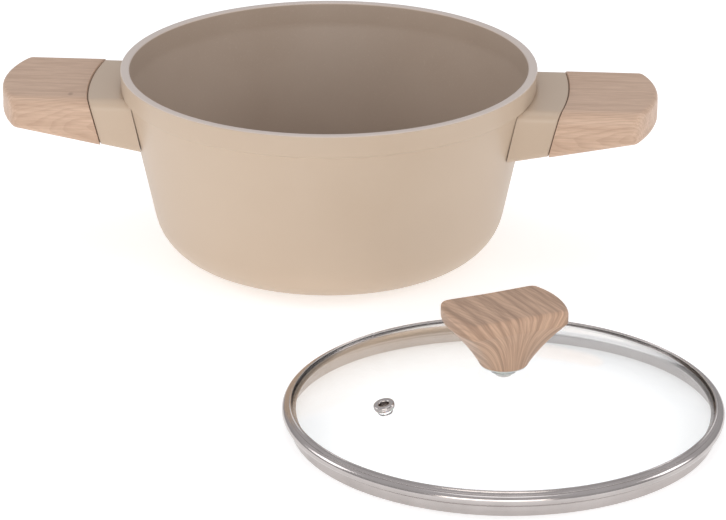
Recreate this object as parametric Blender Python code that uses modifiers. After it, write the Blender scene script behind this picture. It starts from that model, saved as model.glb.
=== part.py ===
"""A 24 cm cooking pot with two side handles, and its domed glass lid lying beside it.

The origin is the centre of the pot's base. +X runs along the handles and +Z is up.
Each piece that would come apart on a bench is an object of its own.
"""
import math

import bmesh
import bpy
from mathutils import Matrix, Vector

OBJECT_NAME = "pot_with_glass_lid"

# Driving dimensions, in metres.
GAP = 0.0003                # clearance between pieces that touch
STEPS = 64                  # facets round a turned piece

POT_HEIGHT = 0.116
RIM_OUTER = 0.125           # radius
RIM_INNER = 0.1195
BAND_HEIGHT = 0.013         # the upright band under the rim
BAND_STEP = 0.0026          # how far the band stands out from the wall
WALL_SLOPE = 0.211          # outward lean of the wall, run over rise
WALL = 0.0029               # wall thickness, measured level
FLOOR = 0.0040
CORNER = 0.032              # outer radius where the wall turns into the base
FOOT_HEIGHT = 0.0009        # foot ring round the base plate
PLATE_RADIUS = 0.066

HANDLE_TOP = 0.104
HANDLE_HALF_WIDTH = 0.041
HANDLE_TIP = 0.197          # distance of the grip's end from the pot's axis
TIP_BOW = 0.0105            # how far the end's arc stands out at the middle
TIP_CORNER = 0.0022         # and how much more it turns in at the corners
SEAM_X = 0.1442              # where the neck meets the grip, on top
SEAM_BOW = 0.0040
SEAM_LEAN = 0.0072          # how much nearer to the pot the seam is below
ROOT_THICKNESS = 0.0272     # of the grip at the seam
UNDERSIDE_SLOPE = 0.19      # the grip thins towards its end
NECK_STEP = 0.0007          # how far the grip stands proud of the neck
GASKET = 0.0005
TONGUE_Z = 0.0940           # middle of the bracket's tongue
TONGUE_THICKNESS = 0.003
TONGUE_HALF_WIDTH = 0.020
TONGUE_END = 0.184
SCREW_X = (0.152, 0.175)
SCREW_SEAT_Z = 0.0889       # where the screws' washers bear

LID_X = 0.118               # where the lid lies, beside the pot
LID_Y = -0.254
LID_TURN = math.radians(35.0)   # turns the vent towards the front left
LID_RADIUS = 0.1208         # over the bead
SKIRT_RADIUS = 0.1162
BEAD_TOP = 0.0124
GLASS = 0.0040
GLASS_RADIUS = 0.1180
GLASS_EDGE_Z = 0.0079       # underside of the glass at its edge
DOME_RISE = 0.0235
KNOB_HEIGHT = 0.035
KNOB_TURN = math.radians(-6.5)  # against the lid, as the screw left it
KNOB_HALF_LENGTH = 0.0330
KNOB_HALF_WIDTH = 0.0210
KNOB_SIDE_ARC = 0.050
KNOB_FOOT = 0.0136
VENT_DISTANCE = 0.0750      # from the lid's axis
VENT_RADIUS = 0.0057
VENT_TUBE = 0.0036

WALL_TOP_RADIUS = RIM_OUTER - 0.0007 - BAND_STEP
WALL_TOP_Z = POT_HEIGHT - BAND_HEIGHT - 0.0012


# ---------------------------------------------------------------- general helpers

def clear_scene():
    for thing in list(bpy.data.objects):
        bpy.data.objects.remove(thing)


def new_collection(name):
    collection = bpy.data.collections.new(name)
    bpy.context.scene.collection.children.link(collection)
    return collection


def finish(name, colour, roughness, metallic=0.0, transmission=0.0):
    material = bpy.data.materials.new(name)
    material.use_nodes = True
    shader = material.node_tree.nodes["Principled BSDF"]
    shader.inputs["Base Color"].default_value = (*colour, 1.0)
    shader.inputs["Roughness"].default_value = roughness
    shader.inputs["Metallic"].default_value = metallic
    shader.inputs["Transmission Weight"].default_value = transmission
    return material


def add_object(name, mesh, material, parent, location=(0.0, 0.0, 0.0)):
    piece = bpy.data.objects.new(name, mesh)
    piece.parent = parent
    piece.location = location
    if material is None:
        piece.hide_render = True
        piece.display_type = "WIRE"
        CUTTERS.objects.link(piece)
    else:
        mesh.materials.append(material)
        PARTS.objects.link(piece)
    return piece


def add_frame(name, location=(0.0, 0.0, 0.0), turn=0.0):
    frame = bpy.data.objects.new(name, None)
    frame.location = location
    frame.rotation_euler = (0.0, 0.0, turn)
    PARTS.objects.link(frame)
    return frame


def smooth(mesh, angle=35.0):
    mesh.shade_smooth()
    mesh.set_sharp_from_angle(angle=math.radians(angle))


def mesh_from(name, bm):
    bmesh.ops.recalc_face_normals(bm, faces=bm.faces)
    mesh = bpy.data.meshes.new(name)
    bm.to_mesh(mesh)
    bm.free()
    smooth(mesh)
    return mesh


def box(name, low, high, material, parent):
    bm = bmesh.new()
    bmesh.ops.create_cube(bm, size=1.0)
    size = Vector(high) - Vector(low)
    middle = (Vector(high) + Vector(low)) / 2
    bmesh.ops.scale(bm, vec=size, verts=bm.verts)
    bmesh.ops.translate(bm, vec=middle, verts=bm.verts)
    return add_object(name, mesh_from(name, bm), material, parent)


def add_cylinder(bm, radius, low, high, centre=(0.0, 0.0), sides=24):
    place = Matrix.Translation((centre[0], centre[1], (low + high) / 2))
    bmesh.ops.create_cone(bm, cap_ends=True, segments=sides, radius1=radius,
                          radius2=radius, depth=high - low, matrix=place)


def turned(name, profile, material, parent, closed=True, steps=STEPS, location=(0.0, 0.0, 0.0)):
    """A solid of revolution. The profile's points run down its outer side."""
    bm = bmesh.new()
    corners = [bm.verts.new((radius, 0.0, z)) for radius, z in profile]
    for first, second in zip(corners, corners[1:]):
        bm.edges.new((first, second))
    if closed:
        bm.edges.new((corners[-1], corners[0]))
    mesh = bpy.data.meshes.new(name)
    bm.to_mesh(mesh)
    bm.free()
    piece = add_object(name, mesh, material, parent, location)
    screw = piece.modifiers.new("turn", "SCREW")
    screw.angle = 2 * math.pi
    screw.steps = steps
    screw.render_steps = steps
    screw.use_merge_vertices = True
    screw.merge_threshold = 0.00001
    screw.use_smooth_shade = True
    return piece


def cut(piece, *cutters):
    for cutter in cutters:
        boolean = piece.modifiers.new(cutter.name, "BOOLEAN")
        boolean.operation = "DIFFERENCE"
        boolean.object = cutter


def arc(centre, radius, start, end, count):
    """Points on an arc, in degrees from +X towards +Z."""
    points = []
    for step in range(count + 1):
        angle = math.radians(start + (end - start) * step / count)
        points.append((centre[0] + radius * math.cos(angle), centre[1] + radius * math.sin(angle)))
    return points


# ---------------------------------------------------------------- pot

def wall_side(inset, corner, floor_z, count):
    """The wall from its top down to the base, with the rounded corner, moved in by inset."""
    lean = math.atan(WALL_SLOPE)
    base_radius = WALL_TOP_RADIUS - WALL_SLOPE * WALL_TOP_Z - inset
    centre_z = floor_z + corner
    centre_r = base_radius + WALL_SLOPE * centre_z - corner / math.cos(lean)
    return arc((centre_r, centre_z), corner, -math.degrees(lean), -90.0, count)


def pot_outside(offset=0.0):
    """Points down the outside, from the rim's edge to the base."""
    band_bottom = POT_HEIGHT - BAND_HEIGHT
    edge = 0.0008
    points = [(RIM_OUTER - edge + offset, POT_HEIGHT), (RIM_OUTER + offset, POT_HEIGHT - edge)]
    points.append((RIM_OUTER - 0.0007 + offset, band_bottom + 0.001))
    points.append((RIM_OUTER - 0.0013 + offset, band_bottom))
    points.append((WALL_TOP_RADIUS + offset, WALL_TOP_Z))
    points.extend(wall_side(-offset, CORNER, 0.0, 8))
    return points


def make_pot():
    outside = pot_outside()
    outside[-1] = (outside[-1][0] - 0.0004, 0.0)
    recess_radius = PLATE_RADIUS + GAP
    recess_z = FOOT_HEIGHT + GAP
    underside = [(recess_radius, 0.0), (recess_radius, recess_z), (0.0, recess_z)]
    inside = [(0.0, FLOOR)] + wall_side(WALL, CORNER - WALL, FLOOR, 8)[::-1]
    inside += [(RIM_INNER - 0.0010, POT_HEIGHT - BAND_HEIGHT)]
    inside += [(RIM_INNER, POT_HEIGHT - 0.0008), (RIM_INNER + 0.0008, POT_HEIGHT)]
    turned("pot_shell", inside + outside + underside, COATING, POT, closed=False)
    plate = [(0.0, FOOT_HEIGHT), (PLATE_RADIUS - 0.0002, FOOT_HEIGHT), (PLATE_RADIUS, FOOT_HEIGHT - 0.0002),
             (PLATE_RADIUS, 0.0002), (PLATE_RADIUS - 0.0002, 0.0), (0.0, 0.0)]
    turned("induction_base_plate", plate, STEEL, POT, closed=False)


# ---------------------------------------------------------------- handles

def seam_x(y, z):
    """The seam between neck and grip: bowed outwards, and leaning in below."""
    lean = SEAM_LEAN * (HANDLE_TOP - z) / ROOT_THICKNESS
    return SEAM_X - SEAM_BOW * (y / HANDLE_HALF_WIDTH) ** 2 - lean


def tip_x(y, z):
    """The grip's outer end: a shallow bow that turns faster at its corners."""
    share = abs(y) / HANDLE_HALF_WIDTH
    return HANDLE_TIP - TIP_BOW * share ** 2 - TIP_CORNER * share ** 8


def underside_z(x):
    return HANDLE_TOP - ROOT_THICKNESS + UNDERSIDE_SLOPE * (x - SEAM_X)


def underside_point(end_line, y, inset):
    """Where an end line of a handle piece meets its sloping underside."""
    z = HANDLE_TOP - ROOT_THICKNESS
    for _ in range(5):
        x = end_line(y, z)
        z = underside_z(x) + inset
    return x, y, z


def slab(name, inner, outer, inset, rounds, end_round, material, parent):
    """A handle piece between two end lines, each a function of y and z that gives x."""
    half = HANDLE_HALF_WIDTH - inset
    inside = half - 0.0085          # room beside the first point for the rounded long edges
    across = [-half] + [inside * (step / 5 - 1) for step in range(11)] + [half]
    bm = bmesh.new()
    outline = [(inner, y) for y in across] + [(outer, y) for y in across[::-1]]
    low = [underside_point(line, y, inset) for line, y in outline]
    high = [(line(y, HANDLE_TOP - inset), y, HANDLE_TOP - inset) for line, y in outline]
    floor = bm.faces.new([bm.verts.new(point) for point in low])
    lifted = bmesh.ops.extrude_face_region(bm, geom=[floor])["geom"]
    for vert in [item for item in lifted if isinstance(item, bmesh.types.BMVert)]:
        index = min(range(len(low)), key=lambda k: math.dist(low[k], vert.co))
        vert.co = high[index]
    bmesh.ops.recalc_face_normals(bm, faces=bm.faces)
    for is_top, radius in ((True, rounds[0]), (False, rounds[1])):
        long_edges = []
        for edge in bm.edges:
            first, second = (vert.co for vert in edge.verts)
            run = abs(first.x - second.x)
            on_side = abs(first.y - second.y) < 1e-6 and run > 0.0003 and run > 2 * abs(first.z - second.z)
            level = min(first.z, second.z) > TONGUE_Z
            if on_side and level == is_top:
                long_edges.append(edge)
        bmesh.ops.bevel(bm, geom=long_edges, offset=radius, segments=4, profile=0.5, affect="EDGES")
    if end_round:
        end_edges = [edge for edge in bm.edges if is_end_edge(edge)]
        bmesh.ops.bevel(bm, geom=end_edges, offset=end_round, segments=2, profile=0.5, affect="EDGES")
    bmesh.ops.remove_doubles(bm, verts=bm.verts, dist=0.00001)
    return add_object(name, mesh_from(name, bm), material, parent)


def is_end_edge(edge):
    """True on the rim of the grip's end face."""
    if len(edge.link_faces) != 2:
        return False
    facing_out = [face.normal.x > 0.75 and face.calc_center_median().x > 0.18 for face in edge.link_faces]
    return facing_out[0] != facing_out[1]


def make_handle(side, turn):
    frame = add_frame("handle_frame_" + side, turn=turn)
    wall = turned("wall_cutter_" + side, [(0.0, 0.122), *pot_outside(GAP)[:6], (0.090, 0.060), (0.0, 0.060)],
                  None, frame, closed=False)
    clear = TONGUE_HALF_WIDTH + 0.0004
    half_tongue = TONGUE_THICKNESS / 2
    slot = box("slot_cutter_" + side, (0.115, -clear, TONGUE_Z - half_tongue - 0.0004),
               (TONGUE_END + 0.0006, clear, TONGUE_Z + half_tongue + 0.0004), None, frame)
    pocket = box("pocket_cutter_" + side, (0.100, -0.0246, 0.0794), (0.1250, 0.0246, 0.0996), None, frame)

    neck_end = GASKET / 2 + GAP
    neck = slab("handle_neck_" + side, lambda y, z: 0.100, lambda y, z: seam_x(y, z) - neck_end,
                NECK_STEP, (0.0070, 0.0045), 0.0, COATING, frame)
    cut(neck, wall, pocket, slot)

    gasket = slab("seam_gasket_" + side, lambda y, z: seam_x(y, z) - GASKET / 2,
                  lambda y, z: seam_x(y, z) + GASKET / 2, 0.0014, (0.0062, 0.0036), 0.0, RUBBER, frame)
    cut(gasket, slot)

    grip = slab("handle_grip_" + side, lambda y, z: seam_x(y, z) + neck_end, tip_x,
                0.0, (0.0070, 0.0045), 0.0024, WOOD, frame)
    cut(grip, slot)
    stepped = [(0.0, TONGUE_Z), (0.0029, TONGUE_Z), (0.0029, SCREW_SEAT_Z),
               (0.0052, SCREW_SEAT_Z), (0.0052, 0.070), (0.0, 0.070)]
    for number, x in enumerate(SCREW_X, start=1):
        name = f"hole_cutter_{side}_{number}"
        cut(grip, turned(name, stepped, None, frame, closed=False, steps=16, location=(x, 0.0, 0.0)))

    pad = box("handle_bracket_" + side, (0.108, -0.0242, 0.0800), (0.1245, 0.0242, 0.0990), STEEL, frame)
    tongue = box("tongue_" + side, (0.1230, -TONGUE_HALF_WIDTH, TONGUE_Z - half_tongue),
                 (TONGUE_END, TONGUE_HALF_WIDTH, TONGUE_Z + half_tongue), None, frame)
    join = pad.modifiers.new("join", "BOOLEAN")
    join.operation = "UNION"
    join.object = tongue
    threads = bmesh.new()
    for x in SCREW_X:
        add_cylinder(threads, 0.0028, 0.085, 0.100, (x, 0.0), 16)
    thread_cutter = add_object("thread_cutter_" + side, mesh_from("thread_cutter", threads), None, frame)
    cut(pad, wall, thread_cutter)

    make_screws(side, frame)


def make_screws(side, frame):
    """Two pan-head screws with a hex socket, each over a spring washer."""
    head_z = SCREW_SEAT_Z - 0.0012
    shape = [(0.0, TONGUE_Z + 0.0013), (0.0021, TONGUE_Z + 0.0013), (0.0025, TONGUE_Z + 0.0009),
             (0.0025, head_z), (0.0044, head_z), (0.0044, head_z - 0.0018), (0.0036, head_z - 0.0028),
             (0.0016, head_z - 0.0028), (0.0013, head_z - 0.0012), (0.0, head_z - 0.0012)]
    low, high = head_z + 0.0002, SCREW_SEAT_Z - 0.0002
    ring = [(0.0041, high), (0.0041, low), (0.0028, low), (0.0028, high)]
    for number, x in enumerate(SCREW_X, start=1):
        name = f"{side}_{number}"
        turned("grip_screw_" + name, shape, STEEL, frame, closed=False, steps=16, location=(x, 0.0, 0.0))
        turned("grip_washer_" + name, ring, SPRING_STEEL, frame, steps=16, location=(x, 0.0, 0.0))


# ---------------------------------------------------------------- lid

SPHERE = ((GLASS_RADIUS ** 2) + DOME_RISE ** 2) / (2 * DOME_RISE)
DOME_TOP = GLASS_EDGE_Z + GLASS + DOME_RISE


def dome_z(radius, depth=0.0):
    """Height of the glass at a distance from the axis, at a depth under its outer face."""
    centre = DOME_TOP - SPHERE
    return centre + math.sqrt((SPHERE - depth) ** 2 - radius ** 2)


def dome_points(start, end, depth, count):
    radii = [start + (end - start) * step / count for step in range(count + 1)]
    return [(radius, dome_z(radius, depth)) for radius in radii]


def make_glass():
    hole = 0.0040
    edge_top = dome_z(GLASS_RADIUS) - 0.0008
    edge_low = dome_z(GLASS_RADIUS, GLASS) + 0.0004
    profile = dome_points(hole, GLASS_RADIUS - 0.0010, 0.0, 8)
    profile += [(GLASS_RADIUS, edge_top), (GLASS_RADIUS, edge_low)]
    profile += dome_points(GLASS_RADIUS - 0.0010, hole, GLASS, 8)
    glass = turned("lid_glass", profile, CLEAR_GLASS, LID)
    bm = bmesh.new()
    add_cylinder(bm, VENT_TUBE, -0.010, 0.010, sides=20)
    cutter = add_object("vent_cutter", mesh_from("vent_cutter", bm), None, VENT)
    cut(glass, cutter)


def make_rim():
    """Rolled steel: a bead over the glass edge, a ledge under it and a skirt below."""
    sheet = 0.0008
    groove = GLASS_RADIUS + GAP
    bead_z = BEAD_TOP - 0.0030
    lip_z = dome_z(GLASS_RADIUS - 0.003) + GAP + 0.0004
    ledge_z = dome_z(GLASS_RADIUS - 0.002, GLASS) - GAP - 0.0006
    outer = arc((LID_RADIUS - 0.0030, bead_z + 0.0004), 0.0030, 95.0, -70.0, 7)
    profile = [(GLASS_RADIUS - 0.0024, lip_z + 0.0006)] + outer
    profile += [(SKIRT_RADIUS + 0.0006, 0.0058), (SKIRT_RADIUS, 0.0050), (SKIRT_RADIUS, 0.0)]
    profile += [(SKIRT_RADIUS - sheet, 0.0), (SKIRT_RADIUS - sheet, 0.0050)]
    profile += [(SKIRT_RADIUS - 0.0040, ledge_z + 0.0004 - sheet), (SKIRT_RADIUS - 0.0042, ledge_z + 0.0004)]
    profile += [(GLASS_RADIUS - 0.0015, ledge_z), (groove, ledge_z), (groove, lip_z - 0.0008)]
    profile += [(GLASS_RADIUS - 0.0024, lip_z)]
    turned("lid_rim", profile, STEEL, LID)


def make_vent():
    """A steel eyelet through the glass, square to its slope, over a clear ring."""
    tube = VENT_TUBE - GAP
    bore = 0.0027
    top = [(bore + 0.0008, 0.0032), (VENT_RADIUS - 0.0009, 0.0032), (VENT_RADIUS, 0.0024),
           (VENT_RADIUS, 0.0008), (tube, 0.0008)]
    below = [(tube, -GLASS - GAP), (tube + 0.0008, -GLASS - GAP), (tube + 0.0006, -GLASS - 0.0008),
             (bore, -GLASS - 0.0008), (bore, 0.0025)]
    turned("vent_eyelet", top + below, STEEL, VENT, steps=24)
    ring = [(VENT_RADIUS - 0.0002, 0.0005), (VENT_RADIUS - 0.0002, 0.0002),
            (tube + GAP, 0.0002), (tube + GAP, 0.0005)]
    turned("vent_seal", ring, SILICONE, VENT, steps=24)


def knob_radius(angle):
    """Outline of the knob's top: two straight sides and two arcs, with soft corners."""
    sine, cosine = abs(math.sin(angle)), abs(math.cos(angle))
    centre = KNOB_SIDE_ARC - KNOB_HALF_LENGTH
    to_arc = -centre * cosine + math.sqrt(KNOB_SIDE_ARC ** 2 - (centre * sine) ** 2)
    to_side = KNOB_HALF_WIDTH / max(sine, 0.001)
    softness = 28
    return (to_arc ** -softness + to_side ** -softness) ** (-1 / softness)


def knob_ring(bm, height, spread, shrink, count=60):
    """One level of the knob, between its round foot (spread 0) and its top outline (spread 1)."""
    ring = []
    for step in range(count):
        angle = 2 * math.pi * step / count
        radius = KNOB_FOOT + (knob_radius(angle) - KNOB_FOOT) * spread - shrink
        ring.append(bm.verts.new((radius * math.cos(angle), radius * math.sin(angle), height)))
    return ring


def make_knob():
    foot = DOME_TOP + 0.0010
    crown = DOME_TOP + KNOB_HEIGHT
    band_low = crown - 0.0085
    levels = [(foot, 0.0, 0.0004), (foot + 0.0006, 0.0, 0.0)]
    for step in range(1, 7):
        share = step / 6
        spread = 0.72 * share + 0.28 * share ** 2
        levels.append((foot + 0.0006 + (band_low - foot - 0.0006) * share, spread, 0.0))
    levels += [(crown - 0.0026, 1.0, 0.0), (crown - 0.0010, 1.0, 0.0007), (crown, 1.0, 0.0026)]
    bm = bmesh.new()
    rings = [knob_ring(bm, *level) for level in levels]
    for lower, upper in zip(rings, rings[1:]):
        for step in range(len(lower)):
            after = (step + 1) % len(lower)
            bm.faces.new((lower[step], lower[after], upper[after], upper[step]))
    bm.faces.new(rings[0][::-1])
    bm.faces.new(rings[-1])
    knob = add_object("lid_knob", mesh_from("lid_knob", bm), WOOD, LID)
    knob.rotation_euler = (0.0, 0.0, KNOB_TURN)
    bore = bmesh.new()
    add_cylinder(bore, 0.0048, foot - 0.005, foot + 0.0160, sides=20)
    cut(knob, add_object("knob_bore_cutter", mesh_from("knob_bore", bore), None, LID))


def make_knob_fixing():
    foot = DOME_TOP + 0.0010
    insert = [(0.0045, foot + 0.0150), (0.0045, foot + 0.0009), (0.0042, foot + 0.0006),
              (0.0028, foot + 0.0006), (0.0028, foot + 0.0150)]
    turned("knob_insert", insert, BRASS, LID, steps=20)
    upper = [(0.0128, foot - GAP), (0.0128, foot - 0.0007), (0.0040, foot - 0.0007), (0.0040, foot - GAP)]
    turned("knob_seal_upper", upper, SILICONE, LID, steps=24)
    under = DOME_TOP - GLASS - GAP
    lower = [(0.0070, under - 0.0003), (0.0070, under - 0.0009), (0.0036, under - 0.0009), (0.0036, under - 0.0003)]
    turned("knob_seal_lower", lower, SILICONE, LID, steps=24)
    face = under - 0.0009 - GAP
    washer = [(0.0070, face), (0.0070, face - 0.0007), (0.0030, face - 0.0007), (0.0030, face)]
    turned("knob_washer", washer, STEEL, LID, steps=24)
    head = face - 0.0007 - GAP
    screw = [(0.0, foot + 0.0120), (0.0021, foot + 0.0120), (0.0025, foot + 0.0116), (0.0025, head),
             (0.0052, head), (0.0052, head - 0.0008), (0.0042, head - 0.0018), (0.0018, head - 0.0018),
             (0.0014, head - 0.0008), (0.0, head - 0.0008)]
    turned("knob_screw", screw, STEEL, LID, closed=False, steps=24)


# ---------------------------------------------------------------- assembly

clear_scene()
PARTS = new_collection(OBJECT_NAME)
CUTTERS = new_collection("cutters")

COATING = finish("beige coating", (0.584, 0.456, 0.342), 0.42)
WOOD = finish("wood effect", (0.521, 0.352, 0.245), 0.55)
STEEL = finish("stainless steel", (0.56, 0.54, 0.52), 0.22, 1.0)
SPRING_STEEL = finish("spring steel", (0.33, 0.32, 0.31), 0.35, 1.0)
BRASS = finish("brass", (0.66, 0.48, 0.22), 0.30, 1.0)
RUBBER = finish("dark gasket", (0.055, 0.042, 0.034), 0.8)
SILICONE = finish("clear silicone", (0.72, 0.72, 0.70), 0.45)
CLEAR_GLASS = finish("clear glass", (0.93, 0.96, 0.95), 0.03, 0.0, 1.0)

POT = add_frame("pot_frame")
LID = add_frame("lid_frame", (LID_X, LID_Y, 0.0), LID_TURN)
VENT = add_frame("vent_frame", (-VENT_DISTANCE, 0.0, dome_z(VENT_DISTANCE)))
VENT.parent = LID
VENT.rotation_euler = (0.0, -math.asin(VENT_DISTANCE / SPHERE), 0.0)

make_pot()
for handle_side, handle_turn in (("right", 0.0), ("left", math.pi)):
    make_handle(handle_side, handle_turn)
make_glass()
make_rim()
make_vent()
make_knob()
make_knob_fixing()
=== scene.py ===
# %% [markdown]
# # A beige cooking pot and its glass lid
# The pot is coated metal, taken to be aluminium, with two wood-effect handles. Its domed glass
# lid rests beside it on the table. The measured model is loaded first and stays as it is. The pieces
# that show are then made again with rounder forms, and everything gets its own finish.

# %% Load the measured model
import math
import bpy
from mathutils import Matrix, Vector


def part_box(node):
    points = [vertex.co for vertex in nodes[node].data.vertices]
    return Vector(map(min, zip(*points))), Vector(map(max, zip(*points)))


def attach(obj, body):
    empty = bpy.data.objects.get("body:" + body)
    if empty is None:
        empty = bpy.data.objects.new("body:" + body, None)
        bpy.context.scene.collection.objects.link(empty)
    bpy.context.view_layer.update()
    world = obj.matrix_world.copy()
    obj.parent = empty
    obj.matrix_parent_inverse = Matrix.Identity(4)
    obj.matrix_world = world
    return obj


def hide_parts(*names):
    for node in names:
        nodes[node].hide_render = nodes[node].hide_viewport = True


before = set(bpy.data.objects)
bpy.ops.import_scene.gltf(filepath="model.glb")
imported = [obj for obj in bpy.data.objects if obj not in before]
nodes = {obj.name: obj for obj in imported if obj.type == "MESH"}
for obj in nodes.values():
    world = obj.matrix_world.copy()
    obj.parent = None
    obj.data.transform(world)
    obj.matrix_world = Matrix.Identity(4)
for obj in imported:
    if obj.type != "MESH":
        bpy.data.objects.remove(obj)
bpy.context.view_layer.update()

# %% [markdown]
# ## The camera
# A long lens from a little above keeps the handles and the lid in their true proportions. It
# stands over two metres away, so that near and far parts come out almost at one scale.

# %% Camera
camera_data = bpy.data.cameras.new("camera")
camera_data.sensor_width = 36.0
camera_data.lens = 188.4
camera = bpy.data.objects.new("camera", camera_data)
camera.location = (0.1969, -2.1458, 0.8607)
camera.rotation_euler = (math.pi / 2 - 0.384, 0.0, math.radians(4.7))
bpy.context.scene.collection.objects.link(camera)
bpy.context.scene.camera = camera
print("camera distance", round(camera.location.length, 2))

# %% [markdown]
# ## Small helpers for nodes
# A finish is a chain of nodes. These helpers add one node, join two sockets and do one step of
# arithmetic, so that each finish below reads as a recipe instead of a list of clicks.

# %% Node helpers
def add_node(tree, kind, **settings):
    made = tree.nodes.new(kind)
    for key, value in settings.items():
        setattr(made, key, value)
    return made


def feed(tree, socket, value):
    """Joins a socket to another one, or gives it a plain value."""
    if isinstance(value, bpy.types.NodeSocket):
        tree.links.new(value, socket)
    else:
        socket.default_value = value


def sums(tree, operation, *values, clamp=False):
    made = add_node(tree, "ShaderNodeMath", operation=operation, use_clamp=clamp)
    for socket, value in zip(made.inputs, values):
        feed(tree, socket, value)
    return made.outputs[0]


def spread(tree, value, low, high, to_low=0.0, to_high=1.0):
    """Maps a value from one range to another with soft ends."""
    made = add_node(tree, "ShaderNodeMapRange", interpolation_type="SMOOTHSTEP")
    for name, number in (("From Min", low), ("From Max", high), ("To Min", to_low), ("To Max", to_high)):
        made.inputs[name].default_value = number
    feed(tree, made.inputs["Value"], value)
    return made.outputs["Result"]


def noise(tree, vector, scale, detail=3.0, rough=0.5):
    made = add_node(tree, "ShaderNodeTexNoise")
    feed(tree, made.inputs["Vector"], vector)
    feed(tree, made.inputs["Scale"], scale)
    made.inputs["Detail"].default_value = detail
    made.inputs["Roughness"].default_value = rough
    return made.outputs["Fac"]


def stretch(tree, vector, scale):
    made = add_node(tree, "ShaderNodeVectorMath", operation="MULTIPLY")
    feed(tree, made.inputs[0], vector)
    made.inputs[1].default_value = scale
    return made.outputs[0]


def blend(tree, share, first, second, mode="MIX"):
    made = add_node(tree, "ShaderNodeMix", data_type="RGBA", blend_type=mode)
    feed(tree, made.inputs["Factor"], share)
    for socket, value in ((made.inputs[6], first), (made.inputs[7], second)):
        if isinstance(value, tuple) and len(value) == 3:
            value = (*value, 1.0)
        feed(tree, socket, value)
    return made.outputs[2]


def new_group(name, inputs, outputs):
    group = bpy.data.node_groups.new(name, "ShaderNodeTree")
    for label, kind, value in inputs:
        socket = group.interface.new_socket(label, in_out="INPUT", socket_type=kind)
        if value is not None:
            socket.default_value = value
    for label, kind in outputs:
        group.interface.new_socket(label, in_out="OUTPUT", socket_type=kind)
    return group, group.nodes.new("NodeGroupInput").outputs, group.nodes.new("NodeGroupOutput").inputs


print("helpers ready")

# %% [markdown]
# ## Sprayed coating grain
# The beige coating is a sprayed, baked ceramic layer. Up close it is not quite even: there is a
# fine orange-peel skin, a few paler specks, and soft cloudy patches where it lies thicker. Three
# noises of different size give these, and the same group serves the outside and the inside.

# %% Coating group
coat_group, entry, leave = new_group(
    "sprayed_grain",
    [("Vector", "NodeSocketVector", None), ("Speck Size", "NodeSocketFloat", 900.0)],
    [("Cloud", "NodeSocketFloat"), ("Specks", "NodeSocketFloat"), ("Height", "NodeSocketFloat")])
cloud = noise(coat_group, entry["Vector"], 16.0, 3.0, 0.55)
fine = noise(coat_group, entry["Vector"], entry["Speck Size"], 2.0, 0.6)
skin = noise(coat_group, entry["Vector"], 420.0, 2.0, 0.5)
feed(coat_group, leave["Cloud"], spread(coat_group, cloud, 0.25, 0.75))
feed(coat_group, leave["Specks"], spread(coat_group, fine, 0.58, 0.74))
feed(coat_group, leave["Height"], sums(coat_group, "MULTIPLY_ADD", fine, 0.35, skin))
print("group", coat_group.name, len(coat_group.nodes), "nodes")

# %% [markdown]
# ## Wood grain
# The grips and the knob are moulded with a wood-effect skin. Real wood is a stack of growth
# rings round a pith line, so the pattern measures the distance from such a line, bends it with
# noise, and turns it into rings. Where a face cuts the rings flat they open into arches, and
# where it cuts them steeply they become long streaks, as on the real handles. Short fibres and
# pores run the same way. The grain runs along X; each material turns and places it.

# %% Wood group
wood_group, entry, leave = new_group(
    "ring_grain",
    [("Vector", "NodeSocketVector", None), ("Ring Width", "NodeSocketFloat", 0.0024),
     ("Bend", "NodeSocketFloat", 0.006), ("Tilt", "NodeSocketFloat", 0.14)],
    [("Rings", "NodeSocketFloat"), ("Streaks", "NodeSocketFloat"),
     ("Fibres", "NodeSocketFloat"), ("Height", "NodeSocketFloat")])
place = add_node(wood_group, "ShaderNodeSeparateXYZ")
feed(wood_group, place.inputs[0], entry["Vector"])
slow = noise(wood_group, stretch(wood_group, entry["Vector"], (16.0, 42.0, 42.0)), 1.0, 2.0, 0.5)
quick = noise(wood_group, stretch(wood_group, entry["Vector"], (60.0, 300.0, 300.0)), 1.0, 2.0, 0.55)
pith = sums(wood_group, "MULTIPLY", place.outputs["X"], entry["Tilt"])
across = sums(wood_group, "SUBTRACT", place.outputs["Y"], pith)
square = sums(wood_group, "MULTIPLY", across, across)
square = sums(wood_group, "MULTIPLY_ADD", place.outputs["Z"], place.outputs["Z"], square)
distance = sums(wood_group, "SQRT", square)
bent = sums(wood_group, "MULTIPLY_ADD", slow, entry["Bend"], distance)
bent = sums(wood_group, "MULTIPLY_ADD", quick, 0.0010, bent)
turns = sums(wood_group, "FRACT", sums(wood_group, "DIVIDE", bent, entry["Ring Width"]))
late = spread(wood_group, turns, 0.35, 0.93)
early = spread(wood_group, turns, 0.93, 1.0, 1.0, 0.0)
rings = sums(wood_group, "MULTIPLY", late, early)
streaks = noise(wood_group, stretch(wood_group, entry["Vector"], (14.0, 230.0, 230.0)), 1.0, 4.0, 0.6)
fibres = noise(wood_group, stretch(wood_group, entry["Vector"], (75.0, 1000.0, 1000.0)), 1.0, 3.0, 0.6)
feed(wood_group, leave["Rings"], rings)
feed(wood_group, leave["Streaks"], spread(wood_group, streaks, 0.36, 0.66))
feed(wood_group, leave["Fibres"], spread(wood_group, fibres, 0.35, 0.68))
height = sums(wood_group, "MULTIPLY_ADD", rings, -0.5, sums(wood_group, "MULTIPLY", fibres, 0.6))
feed(wood_group, leave["Height"], height)
print("group", wood_group.name, len(wood_group.nodes), "nodes")

# %% [markdown]
# ## Starting a material
# Every material starts from the Principled shader. Plain numbers such as the index of
# refraction are set on the shader itself; only colour, roughness and bump come from nodes.

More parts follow.
